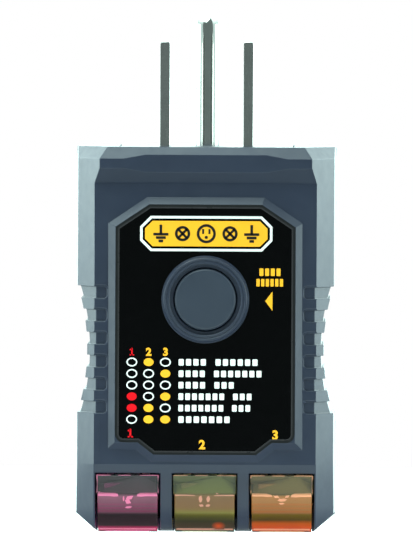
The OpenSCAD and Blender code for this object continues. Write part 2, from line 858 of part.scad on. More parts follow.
// Lamp feet: a glass plug in each lamp with two electrodes and their leads
module lamp_electrodes() color("#a8a49c") placed()
    for (i = [-1:1]) translate([i * lens_pitch, lamp_d, 0]) {
        translate([0, 0, lamp_z[1] - 2]) cylinder(r = lamp_r - lamp_wall - 0.02, h = 2);
        for (side = [-1, 1]) translate([side * 0.75, 0, 0]) {
            translate([0, 0, lamp_z[0] + 1.7]) cylinder(r = 0.35, h = lamp_z[1] - lamp_z[0] - 3.7 + eps);
            translate([0, 0, lamp_z[1] - eps]) cylinder(r = 0.2, h = 3.4);
            translate([0, 0, lamp_z[1] + 3.1]) rotate([-90, 0, 0])
                cylinder(r = 0.2, h = board_d - lamp_d);
        }
    }

// ---------------------------------------------------------------- fasteners

// Pan-head screws with a cross recess, put in from the back
module case_screws() color("#8f9296") placed()
    both_sides()
        difference() {
            union() {
                depth_cylinder(screw_pitch / 2, waist_z, head_r, screw_seat_d, screw_seat_d + head_t);
                depth_cylinder(screw_pitch / 2, waist_z, screw_r, screw_tip_d, screw_seat_d + eps);
            }
            translate([screw_pitch / 2, screw_seat_d + head_t, waist_z])
                for (a = [0, 90]) rotate([0, a, 0]) cube([2.6, 1.6, 0.55], center = true);
        }

front_shell();
rear_shell();
front_label();
prong_carrier();
prong_retainer();
hot_blade();
neutral_blade();
ground_pin();
ground_strap();
test_button();
contact_bridge();
return_spring();
switch_housing();
switch_contacts();
circuit_board();
test_resistor();
lamp_resistor_1();
lamp_resistor_2();
lamp_resistor_3();
red_lens();
centre_amber_lens();
right_amber_lens();
lamp_baffle();
red_neon_lamp();
centre_neon_lamp();
right_neon_lamp();
lamp_electrodes();
case_screws();
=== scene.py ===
"""Looks of a three-lamp outlet tester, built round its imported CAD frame.

Sizes and places are in millimetres along the frame's axes, and MM turns them into metres.
"""

import json
import math

import bmesh
import bpy
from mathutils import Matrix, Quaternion, Vector


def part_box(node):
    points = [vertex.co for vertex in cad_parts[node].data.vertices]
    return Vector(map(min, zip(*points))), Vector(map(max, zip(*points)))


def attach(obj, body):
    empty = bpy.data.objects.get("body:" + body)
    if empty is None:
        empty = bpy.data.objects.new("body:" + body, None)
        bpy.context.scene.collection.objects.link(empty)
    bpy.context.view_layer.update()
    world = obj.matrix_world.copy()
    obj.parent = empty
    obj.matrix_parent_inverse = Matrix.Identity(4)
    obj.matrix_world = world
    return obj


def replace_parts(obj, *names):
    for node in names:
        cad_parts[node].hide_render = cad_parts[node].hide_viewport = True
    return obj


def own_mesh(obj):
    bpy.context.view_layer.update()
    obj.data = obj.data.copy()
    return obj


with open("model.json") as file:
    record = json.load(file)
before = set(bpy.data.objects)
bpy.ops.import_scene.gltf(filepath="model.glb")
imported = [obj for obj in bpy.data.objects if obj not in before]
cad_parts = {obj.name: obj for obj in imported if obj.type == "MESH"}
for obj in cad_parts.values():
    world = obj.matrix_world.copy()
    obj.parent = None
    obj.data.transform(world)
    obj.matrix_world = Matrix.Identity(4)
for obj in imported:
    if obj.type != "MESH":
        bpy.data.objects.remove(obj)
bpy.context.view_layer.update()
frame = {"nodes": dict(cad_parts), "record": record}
nodes = frame["nodes"]
record = frame["record"]

MM = 0.001
slot_of = {part["node"]: part["material_slot"] for part in record["subparts"]}
body_of = {n: body for body, members in record["behaviour"]["bodies"].items() for n in members}

LENS_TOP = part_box("centre_amber_lens")[1].z / MM
LABEL_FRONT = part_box("front_label")[0].y / MM
CASE_DEPTH = 27
FACE_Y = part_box("rear_shell")[1].y / MM - CASE_DEPTH

# ------------------------------------------------------------------ kinds of material

MATERIALS = {}   # by name
# Nearly all of a noise's values lie between these
NOISE_LOW = 0.3
NOISE_HIGH = 0.7


def shader(name, color, roughness, metallic=0.0, **sockets):
    """A new Principled material, kept in MATERIALS under its name.

    Colours are linear, and extra sockets are named with underscores.
    """
    made = bpy.data.materials.new(name)
    MATERIALS[name] = made
    made.use_nodes = True
    made.node_tree.nodes.clear()
    principled = made.node_tree.nodes.new("ShaderNodeBsdfPrincipled")
    out = made.node_tree.nodes.new("ShaderNodeOutputMaterial")
    made.node_tree.links.new(principled.outputs[0], out.inputs[0])
    principled.inputs["Base Color"].default_value = (*color, 1)
    principled.inputs["Roughness"].default_value = roughness
    principled.inputs["Metallic"].default_value = metallic
    for socket, value in sockets.items():
        principled.inputs[socket.replace("_", " ")].default_value = value
    return made


def principled_of(made):
    return next(n for n in made.node_tree.nodes if n.type == "BSDF_PRINCIPLED")


def noise(made, size_mm, stretch=(1, 1, 1), detail=3.0):
    """A noise whose grains are about size_mm wide, drawn out by stretch. Returns its value socket."""
    tree = made.node_tree
    coords = tree.nodes.new("ShaderNodeTexCoord")
    mapping = tree.nodes.new("ShaderNodeMapping")
    texture = tree.nodes.new("ShaderNodeTexNoise")
    mapping.inputs["Scale"].default_value = [1 / s for s in stretch]
    texture.inputs["Scale"].default_value = 1 / (size_mm * MM)
    texture.inputs["Detail"].default_value = detail
    tree.links.new(coords.outputs["Object"], mapping.inputs[0])
    tree.links.new(mapping.outputs[0], texture.inputs[0])
    return texture.outputs[0]


def mottle(made, source, spread):
    """The base colour varies by spread, darker and lighter, with the source."""
    base = principled_of(made).inputs["Base Color"]
    color = Vector(base.default_value[:3])
    ramp = made.node_tree.nodes.new("ShaderNodeValToRGB")
    ramp.color_ramp.elements[0].position = NOISE_LOW
    ramp.color_ramp.elements[1].position = NOISE_HIGH
    ramp.color_ramp.elements[0].color = (*(color * (1 - spread)), 1)
    ramp.color_ramp.elements[1].color = (*(color * (1 + spread)), 1)
    made.node_tree.links.new(source, ramp.inputs[0])
    made.node_tree.links.new(ramp.outputs[0], base)


def uneven(made, source, spread):
    """The roughness varies by spread with the source."""
    rough = principled_of(made).inputs["Roughness"]
    remap = made.node_tree.nodes.new("ShaderNodeMapRange")
    remap.inputs["From Min"].default_value = NOISE_LOW
    remap.inputs["From Max"].default_value = NOISE_HIGH
    remap.inputs["To Min"].default_value = rough.default_value - spread
    remap.inputs["To Max"].default_value = rough.default_value + spread
    made.node_tree.links.new(source, remap.inputs[0])
    made.node_tree.links.new(remap.outputs[0], rough)


def bumpy(made, source, height_mm, strength):
    """A fine relief that follows the source."""
    bump = made.node_tree.nodes.new("ShaderNodeBump")
    bump.inputs["Distance"].default_value = height_mm * MM
    bump.inputs["Strength"].default_value = strength
    made.node_tree.links.new(source, bump.inputs["Height"])
    made.node_tree.links.new(bump.outputs[0], principled_of(made).inputs["Normal"])


def moulded(name, color, roughness, grain_mm=0.12, relief_mm=0.004, **sockets):
    """Moulded plastic or ink: faint clouds in its colour and gloss, and a fine spark-eroded grain."""
    made = shader(name, color, roughness, **sockets)
    mottle(made, noise(made, size_mm=6), spread=0.06)
    uneven(made, noise(made, size_mm=1.5), spread=0.04)
    bumpy(made, noise(made, grain_mm, detail=2), relief_mm, strength=0.5)


def drawn_metal(name, color, roughness, stretch):
    """Plated or stamped metal with faint drawing lines along one way."""
    made = shader(name, color, roughness, metallic=1.0)
    mottle(made, noise(made, size_mm=2.5), spread=0.05)
    lines = noise(made, size_mm=0.08, stretch=stretch)
    uneven(made, lines, spread=0.05)
    bumpy(made, lines, height_mm=0.0015, strength=0.4)


def tinted(name, color, roughness=0.04):
    """Clear tinted plastic or glass, through which lamps shine with its tint."""
    made = shader(name, color, roughness, IOR=1.49, Transmission_Weight=1.0)
    tree = made.node_tree
    path = tree.nodes.new("ShaderNodeLightPath")
    through = tree.nodes.new("ShaderNodeBsdfTransparent")
    through.inputs[0].default_value = (*color, 1)
    mix = tree.nodes.new("ShaderNodeMixShader")
    out = next(n for n in tree.nodes if n.type == "OUTPUT_MATERIAL")
    tree.links.new(path.outputs["Is Shadow Ray"], mix.inputs[0])
    tree.links.new(principled_of(made).outputs[0], mix.inputs[1])
    tree.links.new(through.outputs[0], mix.inputs[2])
    tree.links.new(mix.outputs[0], out.inputs[0])
    uneven(made, noise(made, size_mm=2), spread=0.015)


def dull(name, color):
    """Almost no gloss, for what lies inside a lens."""
    return shader(name, color, 0.35, Specular_IOR_Level=0.05)


STREAK_SHIFT = 0.5   # how far a streak can move the bands


def painted_light_bands(name, bands):
    """Colour that changes with height, at places above the lamp end, with fine level streaks: the lens's tint
    with painted reflections, highlights and shade in bands.
    """
    made = dull(name, bands[0][1])
    tree = made.node_tree
    coords = tree.nodes.new("ShaderNodeTexCoord")
    split = tree.nodes.new("ShaderNodeSeparateXYZ")
    streaks = tree.nodes.new("ShaderNodeMath")
    streaks.operation = "MULTIPLY_ADD"
    streaks.inputs[1].default_value = STREAK_SHIFT * MM
    height = tree.nodes.new("ShaderNodeMath")
    height.operation = "MULTIPLY"
    height.inputs[1].default_value = 1 / (LENS_TOP * MM)
    ramp = tree.nodes.new("ShaderNodeValToRGB")
    stops = ramp.color_ramp.elements
    while len(stops) < len(bands):
        stops.new(0.5)
    for stop, (z, color) in zip(stops, bands):
        stop.position = z / LENS_TOP
        stop.color = (*color, 1)
    tree.links.new(coords.outputs["Object"], split.inputs[0])
    tree.links.new(noise(made, size_mm=0.6, stretch=(60, 60, 1), detail=4), streaks.inputs[0])
    tree.links.new(split.outputs["Z"], streaks.inputs[2])
    tree.links.new(streaks.outputs[0], height.inputs[0])
    tree.links.new(height.outputs[0], ramp.inputs[0])
    tree.links.new(ramp.outputs[0], principled_of(made).inputs["Base Color"])
    uneven(made, noise(made, size_mm=0.25, stretch=(40, 40, 1)), spread=0.08)


def spotted(name, middle, reach_mm, flatten, inner, outer):
    """A soft oval spot of one colour on another.

    The middle is (x, z). The spot reaches reach_mm from it, once x and z are multiplied by flatten.
    """
    made = dull(name, outer)
    tree = made.node_tree
    coords = tree.nodes.new("ShaderNodeTexCoord")
    flat = tree.nodes.new("ShaderNodeVectorMath")
    flat.operation = "MULTIPLY"
    flat.inputs[1].default_value = (flatten[0], 0, flatten[1])
    apart = tree.nodes.new("ShaderNodeVectorMath")
    apart.operation = "DISTANCE"
    apart.inputs[1].default_value = (flatten[0] * middle[0] * MM, 0, flatten[1] * middle[1] * MM)
    fade = tree.nodes.new("ShaderNodeMapRange")
    fade.inputs["From Max"].default_value = reach_mm * MM
    ramp = tree.nodes.new("ShaderNodeValToRGB")
    ramp.color_ramp.elements[0].color = (*inner, 1)
    ramp.color_ramp.elements[1].color = (*outer, 1)
    tree.links.new(coords.outputs["Object"], flat.inputs[0])
    tree.links.new(flat.outputs[0], apart.inputs[0])
    tree.links.new(apart.outputs["Value"], fade.inputs[0])
    tree.links.new(fade.outputs[0], ramp.inputs[0])
    tree.links.new(ramp.outputs[0], principled_of(made).inputs["Base Color"])


# ------------------------------------------------------------------ materials

moulded("case_plastic", (0.0195, 0.0265, 0.049), 0.36)
moulded("button_plastic", (0.027, 0.036, 0.056), 0.4)
moulded("inner_plastic", (0.55, 0.53, 0.48), 0.5)
moulded("white_plastic", (0.6, 0.6, 0.57), 0.45)
moulded("board", (0.03, 0.15, 0.05), 0.3)
moulded("blue_resistor", (0.18, 0.28, 0.4), 0.3)
moulded("tan_resistor", (0.6, 0.42, 0.24), 0.3)

# A grey a little lighter than the film for the label's edge: partly its own edge, partly a painted highlight
# of the edge catching the light
moulded("label_edge_painted_highlight", (0.024, 0.022, 0.024), 0.3, 0.3, 0.0005)
moulded("label_film", (0.001, 0.001, 0.0012), 0.16, 0.3, 0.0005, Specular_IOR_Level=0.15)
moulded("white_ink", (0.85, 0.85, 0.83), 0.4, 0.2, 0.001)
moulded("yellow_ink", (1.0, 0.45, 0.01), 0.4, 0.2, 0.001)
moulded("red_ink", (0.75, 0.0, 0.006), 0.5, 0.2, 0.001, Specular_IOR_Level=0.2)
# Black print, and also the painted shade of the gap round the label
moulded("black_ink_and_painted_shade", (0.004, 0.004, 0.005), 0.35, 0.2, 0.001)

drawn_metal("plated_blade", (0.66, 0.65, 0.63), 0.16, (1, 1, 30))
drawn_metal("plated_pin", (0.75, 0.76, 0.73), 0.1, (1, 1, 40))
drawn_metal("brass_strip", (0.72, 0.5, 0.17), 0.25, (1, 1, 20))
drawn_metal("spring_steel", (0.5, 0.5, 0.5), 0.25, (20, 1, 1))
drawn_metal("screw_steel", (0.45, 0.45, 0.46), 0.3, (1, 8, 1))
drawn_metal("lamp_wire", (0.5, 0.48, 0.44), 0.3, (1, 1, 20))

tinted("red_lens", (0.9, 0.27, 0.55))
tinted("olive_amber_lens", (0.8, 0.66, 0.36))
tinted("orange_amber_lens", (0.95, 0.62, 0.32))
tinted("lamp_glass", (0.95, 0.95, 0.95), 0.02)

# The diffusers' bands paint light and shade over each lens's own tint: dark bands are painted shade and
# reflected dark, light bands are painted reflections and highlights.
painted_light_bands("red_diffuser", (
    (0.3, (0.9, 0.1, 0.3)), (1.0, (0.6, 0.05, 0.2)), (1.45, (0.03, 0.02, 0.02)),
    (3.2, (0.02, 0.03, 0.02)), (3.5, (0.16, 0.12, 0.12)), (3.7, (0.26, 0.06, 0.13)),
    (3.9, (0.17, 0.16, 0.14)), (4.15, (0.28, 0.12, 0.17)), (4.3, (0.2, 0.2, 0.17)),
    (4.75, (0.3, 0.18, 0.2)), (4.9, (0.24, 0.24, 0.2)), (5.9, (0.32, 0.32, 0.26)),
    (6.3, (0.06, 0.1, 0.06)), (9.0, (0.05, 0.12, 0.07)),
))
painted_light_bands("olive_diffuser", (
    (0.3, (0.12, 0.1, 0.08)), (1.2, (0.08, 0.04, 0.02)), (2.2, (0.05, 0.05, 0.03)),
    (3.1, (0.14, 0.14, 0.03)), (3.5, (0.3, 0.3, 0.1)), (4.2, (0.32, 0.19, 0.13)),
    (6.0, (0.3, 0.19, 0.14)), (6.6, (0.18, 0.22, 0.1)), (9.0, (0.16, 0.2, 0.12)),
))
painted_light_bands("orange_diffuser", (
    (0.3, (0.8, 0.12, 0.0)), (0.9, (0.75, 0.12, 0.0)), (1.9, (0.55, 0.14, 0.0)),
    (2.4, (0.1, 0.08, 0.01)), (3.2, (0.16, 0.14, 0.01)), (3.5, (0.36, 0.2, 0.08)),
    (3.7, (0.46, 0.18, 0.06)), (3.9, (0.36, 0.24, 0.11)), (4.2, (0.5, 0.22, 0.08)),
    (4.35, (0.38, 0.25, 0.12)), (4.8, (0.5, 0.24, 0.1)), (4.95, (0.42, 0.28, 0.15)),
    (5.9, (0.48, 0.3, 0.17)), (6.3, (0.16, 0.17, 0.11)), (9.0, (0.17, 0.19, 0.12)),
))
# Near-white colours for the painted highlights inside the lenses
moulded("red_glint", (1.0, 0.78, 0.72), 0.2)
moulded("olive_glint", (0.95, 0.5, 0.6), 0.2)
moulded("orange_glint", (1.0, 0.66, 0.66), 0.2)

# A painted glow at the foot of the middle lens: a bright orange spot in place of lamp light
GLOW_SPOT = (2.1, 1.1)
spotted("painted_glow", GLOW_SPOT, 0.85, (0.75, 1.15), (0.95, 0.12, 0.0), (0.07, 0.045, 0.02))

for name, node in nodes.items():
    node.data.materials.clear()
    node.data.materials.append(MATERIALS[slot_of[name]])

# ------------------------------------------------------------------ case, prongs and button

SHARP_DEG = 28       # an edge that turns by more is rounded
EDGE_STEPS = 2
SOFT_EDGE = 0.28     # rounding of the grip slots' rims
SOFT_STEPS = 3
MOST_SIDES = 12      # a face with more sides is cut up before its edges are rounded
SMOOTH_DEG = 35
CRISP_DEG = 12       # keeps the shells' narrow roundings apart from their flats
WELD = 0.0005
SLIVER = 0.02
FLAT_DEG = 0.5


def piece_from(bm, name, finish, body="case", smooth_deg=SMOOTH_DEG):
    """A new piece from a bmesh, shaded smooth up to an angle, riding on a body."""
    mesh = bpy.data.meshes.new(name)
    bm.to_mesh(mesh)
    bm.free()
    if "custom_normal" in mesh.attributes:
        mesh.attributes.remove(mesh.attributes["custom_normal"])
    mesh.shade_smooth()
    mesh.set_sharp_from_angle(angle=math.radians(smooth_deg))
    mesh.materials.append(MATERIALS[finish])
    made = bpy.data.objects.new(name, mesh)
    bpy.context.scene.collection.objects.link(made)
    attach(made, body)
    return made


def mesh_of(node):
    """A welded copy of a CAD node's mesh."""
    bm = bmesh.new()
    bm.from_mesh(nodes[node].data)
    bmesh.ops.remove_doubles(bm, verts=bm.verts, dist=WELD * MM)
    return bm


def rounded_copy(node, name, edge_mm, softer=None, smooth_deg=SMOOTH_DEG):
    """A copy of a CAD node with its flats joined up and its edges rounded, in place of the node.

    Edges that pass the test softer are rounded by SOFT_EDGE instead.
    """
    bm = mesh_of(node)
    bmesh.ops.dissolve_limit(bm, angle_limit=math.radians(FLAT_DEG), verts=bm.verts, edges=bm.edges)
    bmesh.ops.dissolve_degenerate(bm, dist=SLIVER * MM, edges=bm.edges)
    many_sided = [f for f in bm.faces if len(f.verts) > MOST_SIDES]
    bmesh.ops.triangulate(bm, faces=many_sided, quad_method="BEAUTY", ngon_method="BEAUTY")
    bm.normal_update()
    sharp = [e for e in bm.edges if e.calc_face_angle(0) > math.radians(SHARP_DEG)]
    soft = [e for e in sharp if softer and softer(e)]
    plain = [e for e in sharp if not (softer and softer(e))]
    for edges, width, steps in ((soft, SOFT_EDGE, SOFT_STEPS), (plain, edge_mm, EDGE_STEPS)):
        bmesh.ops.bevel(
            bm, geom=[e for e in edges if e.is_valid], offset=width * MM, segments=steps,
            profile=0.5, affect="EDGES", clamp_overlap=False,
        )
    made = piece_from(bm, name, slot_of[node], body_of[node], smooth_deg)
    flat_sides = made.modifiers.new("flat_sides", "WEIGHTED_NORMAL")
    flat_sides.keep_sharp = True
    flat_sides.weight = 100
    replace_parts(made, node)


# Where the grip slots' rims lie on the face, to each side of the middle and above the lamp end
RIMS_X = (13, 17.5)
RIMS_Z = (15, 45)
ON_FACE = 0.02
UPRIGHT = 0.95


def round_a_slot(edge):
    """Whether an edge is a grip slot's rim on the flat face."""
    points = [v.co / MM for v in edge.verts]
    in_reach = all(
        abs(p.y - FACE_Y) < ON_FACE and RIMS_X[0] < abs(p.x) < RIMS_X[1] and RIMS_Z[0] < p.z < RIMS_Z[1]
        for p in points
    )
    return in_reach and max(abs(f.normal.z) + abs(f.normal.x) for f in edge.link_faces) > UPRIGHT


rounded_copy("front_shell", "front_case_half", 0.1, softer=round_a_slot, smooth_deg=CRISP_DEG)
rounded_copy("rear_shell", "rear_case_half", 0.1, smooth_deg=CRISP_DEG)
for lens in ("red_lens", "centre_amber_lens", "right_amber_lens"):
    rounded_copy(lens, lens + "_cap", 0.2)
for blade in ("hot_blade", "neutral_blade"):
    rounded_copy(blade, blade + "_plated", 0.08)
rounded_copy("prong_carrier", "plug_plate", 0.12)
rounded_copy("case_screws", "screws_in_back", 0.08)
rounded_copy("test_button", "button_moulding", 0.05)


def join_rings(bm, rings):
    """Joins each ring of corners to the next. A ring of one corner is a closed end."""
    for near, far in zip(rings, rings[1:]):
        count = max(len(near), len(far))
        for i in range(count):
            j = (i + 1) % count
            corners = (near[i % len(near)], near[j % len(near)], far[j % len(far)], far[i % len(far)])
            bm.faces.new(tuple(dict.fromkeys(corners)))


PIN_R = 2.375
PIN_SIDES = 72
DOME_RINGS = 16
# The ground pin's side, from the middle of its tail to where it leaves the case, as (radius, height)
PIN_SIDE = (
    (0, 46), (1.2, 46), (1.2, 51), (3.2, 51), (3.2, 52.6), (2.6, 52.6), (2.6, 58.85), (PIN_R, 58.85),
)


def turned_pin():
    """The ground pin with a finely turned dome, in place of its node."""
    low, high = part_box("ground_pin")
    middle = (low + high) / 2
    foot = high.z / MM - PIN_R
    turns = [math.pi / 2 * k / DOME_RINGS for k in range(DOME_RINGS)]
    dome = [(PIN_R * math.cos(a), foot + PIN_R * math.sin(a)) for a in turns]
    bm = bmesh.new()
    rings = []
    for r, z in (*PIN_SIDE, *dome, (0, foot + PIN_R)):
        angles = [math.tau * i / PIN_SIDES for i in range(PIN_SIDES if r else 1)]
        rings.append([
            bm.verts.new((middle.x + r * MM * math.cos(a), middle.y + r * MM * math.sin(a), z * MM))
            for a in angles
        ])
    join_rings(bm, rings)
    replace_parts(piece_from(bm, "ground_pin_plated", "plated_pin"), "ground_pin")


turned_pin()

# ------------------------------------------------------------------ return spring

SPRING_WIRE_R = 0.28
SPRING_TURNS = 4     # between the two flat end turns
SPRING_STEPS = 24    # in each turn
WIRE_SIDES = 10


def spring_y(turn, start, end):
    """How far back the wire's middle lies after some turns, in metres."""
    rise = SPRING_WIRE_R * MM
    if turn < 1:
        return start + rise * turn
    if turn > SPRING_TURNS + 1:
        return end - rise * (SPRING_TURNS + 2 - turn)
    return start + rise + (end - start - 2 * rise) * (turn - 1) / SPRING_TURNS


def coil_spring():
    """A round-wire coil with flat end turns."""
    low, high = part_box("return_spring")
    middle = (low + high) / 2
    wire = SPRING_WIRE_R * MM
    radius = (high.x - low.x) / 2 - wire
    back = Vector((0, 1, 0))
    bm = bmesh.new()
    rings = []
    for k in range((SPRING_TURNS + 2) * SPRING_STEPS + 1):
        turn = k / SPRING_STEPS
        outward = Vector((math.cos(math.tau * turn), 0, math.sin(math.tau * turn)))
        point = Vector((middle.x, spring_y(turn, low.y + wire, high.y - wire), middle.z)) + radius * outward
        angles = [math.tau * i / WIRE_SIDES for i in range(WIRE_SIDES)]
        rings.append([
            bm.verts.new(point + wire * (outward * math.cos(a) + back * math.sin(a))) for a in angles
        ])
    join_rings(bm, rings)
    bm.faces.new(rings[0][::-1])
    bm.faces.new(rings[-1])
    bmesh.ops.recalc_face_normals(bm, faces=bm.faces)
    made = piece_from(bm, "coil_spring", "spring_steel", smooth_deg=60)
    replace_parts(made, "return_spring")
    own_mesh(made)


coil_spring()

# ------------------------------------------------------------------ kinds of print
# Places on the label are (x, z), and heights are above its front side.

INK_T = 0.03
INK_SUNK = 0.01      # how far print reaches into the label
CORNER_CUT = 0.12    # of a block of ink, as a share of its shorter side
LETTER_GAP = 0.3     # as a share of the step from letter to letter
CAP_HEIGHT = 0.72    # a digit's height at font size 1
BOLDER = 0.075       # what a digit's strokes grow by on each side


def corners_at(bm, outline, height):
    """A ring of corners at a height above the label."""
    return [bm.verts.new((x * MM, (LABEL_FRONT - height) * MM, z * MM)) for x, z in outline]


def side_walls(bm, front, back):
    """Joins a front outline to the one behind it."""
    for i in range(len(front)):
        j = (i + 1) % len(front)
        bm.faces.new((front[i], back[i], back[j], front[j]))


def raised(bm, outline, top=INK_T, bottom=-INK_SUNK):
    """Adds a flat shape between two heights. The outline runs counter-clockwise."""
    front, back = corners_at(bm, outline, top), corners_at(bm, outline, bottom)
    bm.faces.new(front)
    bm.faces.new(back[::-1])
    side_walls(bm, front, back)


def raised_frame(bm, outer, inner, top=INK_T, bottom=-INK_SUNK):
    """Adds a flat band between two outlines that have the same number of points."""
    around = ((outer, top), (inner, top), (inner, bottom), (outer, bottom))
    rings = [corners_at(bm, outline, height) for outline, height in around]
    join_rings(bm, [*rings, rings[0]])


def oval(x, z, across, up, steps=28):
    """An outline that reaches across to each side of (x, z) and up above and below it."""
    turns = [math.tau * i / steps for i in range(steps)]
    return [(x + across * math.cos(a), z + up * math.sin(a)) for a in turns]


def circle(x, z, r, steps=28):
    """A round outline."""
    return oval(x, z, r, r, steps)


def cut_corner(x, z, w, h, cut):
    """A rectangle round (x, z) with its corners cut."""
    a, b = w / 2, h / 2
    return [
        (x - a + cut, z - b), (x + a - cut, z - b), (x + a, z - b + cut), (x + a, z + b - cut),
        (x + a - cut, z + b), (x - a + cut, z + b), (x - a, z + b - cut), (x - a, z - b + cut),
    ]


def bar(bm, x0, z0, x1, z1, **heights):
    """A small block of ink with slightly cut corners."""
    w, h = x1 - x0, z1 - z0
    raised(bm, cut_corner((x0 + x1) / 2, (z0 + z1) / 2, w, h, CORNER_CUT * min(w, h)), **heights)


def stroke(bm, start, end, width, **heights):
    """A straight line of ink of a given width."""
    a, b = Vector(start), Vector(end)
    along = (b - a).normalized()
    side = Vector((-along.y, along.x)) * width / 2
    raised(bm, [a - side, b - side, b + side, a + side], **heights)


def words(bm, x, z, length, height, *letters):
    """Stands for a line of text: blocks in groups that are as long as its words."""
    step = length / (sum(letters) + len(letters) - 1 - LETTER_GAP)
    left = x
    for group in letters:
        for _ in range(group):
            bar(bm, left, z - height / 2, left + step * (1 - LETTER_GAP), z + height / 2)
            left += step
        left += step


def thin_piece(bm, name, finish):
    """Finishes a thin piece: print, painted highlights, painted shade and painted bands."""
    bmesh.ops.recalc_face_normals(bm, faces=bm.faces)
    piece_from(bm, name, finish, smooth_deg=20)


def figure_one(x, z, height, name, finish):
    """The digit 1 with its flag and foot, because the built-in font's is a plain stroke."""
    bm = bmesh.new()
    half, line = height / 2, height * 0.2
    foot, flag = height * 0.3, height * 0.28
    bar(bm, x - line / 2, z - half, x + line / 2, z + half)
    bar(bm, x - foot, z - half, x + foot, z - half + line * 0.8)
    stroke(bm, (x - flag, z + half * 0.45), (x, z + half * 0.82), line * 0.8)
    thin_piece(bm, name, finish)


def numeral(digit, x, z, height, name, finish):
    """A printed digit whose middle is at (x, z)."""
    if digit == "1":
        figure_one(x, z, height, name, finish)
        return
    curve = bpy.data.curves.new(name, "FONT")
    curve.body = digit
    curve.size = height / CAP_HEIGHT * MM
    curve.extrude = (INK_T + INK_SUNK) / 2 * MM
    curve.offset = BOLDER * MM
    made = bpy.data.objects.new(name, curve)
    bpy.context.scene.collection.objects.link(made)
    mesh = bpy.data.meshes.new_from_object(made.evaluated_get(bpy.context.evaluated_depsgraph_get()))
    bpy.data.objects.remove(made)
    bm = bmesh.new()
    bm.from_mesh(mesh)
    low = Vector([min(v.co[i] for v in bm.verts) for i in range(3)])
    high = Vector([max(v.co[i] for v in bm.verts) for i in range(3)])
    middle = (low + high) / 2
    sunk = (LABEL_FRONT - (INK_T - INK_SUNK) / 2) * MM
    for vert in bm.verts:
        offset = vert.co - middle
        vert.co = (x * MM + offset.x, sunk - offset.z, z * MM + offset.y)
    bmesh.ops.remove_doubles(bm, verts=bm.verts, dist=0.001 * MM)
    thin_piece(bm, name, finish)


# ------------------------------------------------------------------ print on the label

COLUMNS = (-11.12, -8.57, -6.02)
ROWS = [26.15 - 1.742 * i for i in range(6)]
# Lamps lit in each row, left to right: r and y are a red and a yellow dot, o is a ring
PATTERNS = ("oyo", "ooy", "ooo", "roy", "ryo", "oyy")
# Each row's text, as its length and then the letters in each of its words
LINES = (
    (12.0, 4, 6), (12.6, 4, 7), (8.4, 4, 3), (11.1, 7, 3), (10.9, 7, 3), (7.8, 7),
)
DOT_ACROSS = 0.83
DOT_UP = 0.68
DOT_STROKE = 0.2
DOT_SHRINK = 0.07    # what a coloured dot is smaller than a ring
TEXT_X = -4.02
TEXT_H = 1.0
HEADS_Z = 27.72
HEAD_H = 1.15


def chart():
    """The table of lamp patterns, with a line of text beside each row."""
    white, yellow, red = bmesh.new(), bmesh.new(), bmesh.new()
    colored = {"r": red, "y": yellow}
    for z, pattern, (length, *letters) in zip(ROWS, PATTERNS, LINES):
        for x, mark in zip(COLUMNS, pattern):
            if mark == "o":
                hole = oval(x, z, DOT_ACROSS - DOT_STROKE, DOT_UP - DOT_STROKE)
                raised_frame(white, oval(x, z, DOT_ACROSS, DOT_UP), hole)
            else:
                raised(colored[mark], oval(x, z, DOT_ACROSS - DOT_SHRINK, DOT_UP - DOT_SHRINK))
        words(white, TEXT_X, z, length, TEXT_H, *letters)
    thin_piece(white, "chart_print_white", "white_ink")
    thin_piece(yellow, "chart_dots_yellow", "yellow_ink")
    thin_piece(red, "chart_dots_red", "red_ink")
    for digit, x, finish in zip("123", COLUMNS, ("red_ink", "yellow_ink", "yellow_ink")):
        numeral(digit, x, HEADS_Z, HEAD_H, "column_head_" + digit, finish)


LAMP_NUMBERS = (
    ("1", -11.3, 15.35, "red_ink"), ("2", -0.4, 13.65, "yellow_ink"), ("3", 10.7, 15.15, "yellow_ink"),
)
LAMP_NUMBER_H = 1.35
CAPTION_H = 1.15
# The caption's lines, as x, z, length and letters
CAPTION = ((8.2, 39.9, 3.2, 4), (7.75, 38.3, 4.05, 6))
ARROW = ((9.1, 35.5), (10.2, 34.03), (10.2, 36.97))


def lamp_marks():
    """A numeral over each lens, and two short lines and an arrow beside the button."""
    for digit, x, z, finish in LAMP_NUMBERS:
        numeral(digit, x, z, LAMP_NUMBER_H, "lamp_number_" + digit, finish)
    caption = bmesh.new()
    for x, z, length, letters in CAPTION:
        words(caption, x, z, length, CAPTION_H, letters)
    raised(caption, ARROW)
    thin_piece(caption, "button_caption", "yellow_ink")


BADGE = (0.1, 45.7)
BADGE_W = 20.1
BADGE_H = 5.35
BADGE_CUT = 1.6
BORDER_W = 0.38
BORDER_CUT = BADGE_CUT - 0.2    # inside the border
PLATE_CUT = BADGE_CUT - 0.45
PLATE_GAP = 0.36
PLATE_T = 0.06
MARK_R = 1.35
MARK_LINE = 0.4
LAMP_PLACE = 3.6
LAMP_R = 0.86 * MARK_R
GROUND_PLACE = 6.9


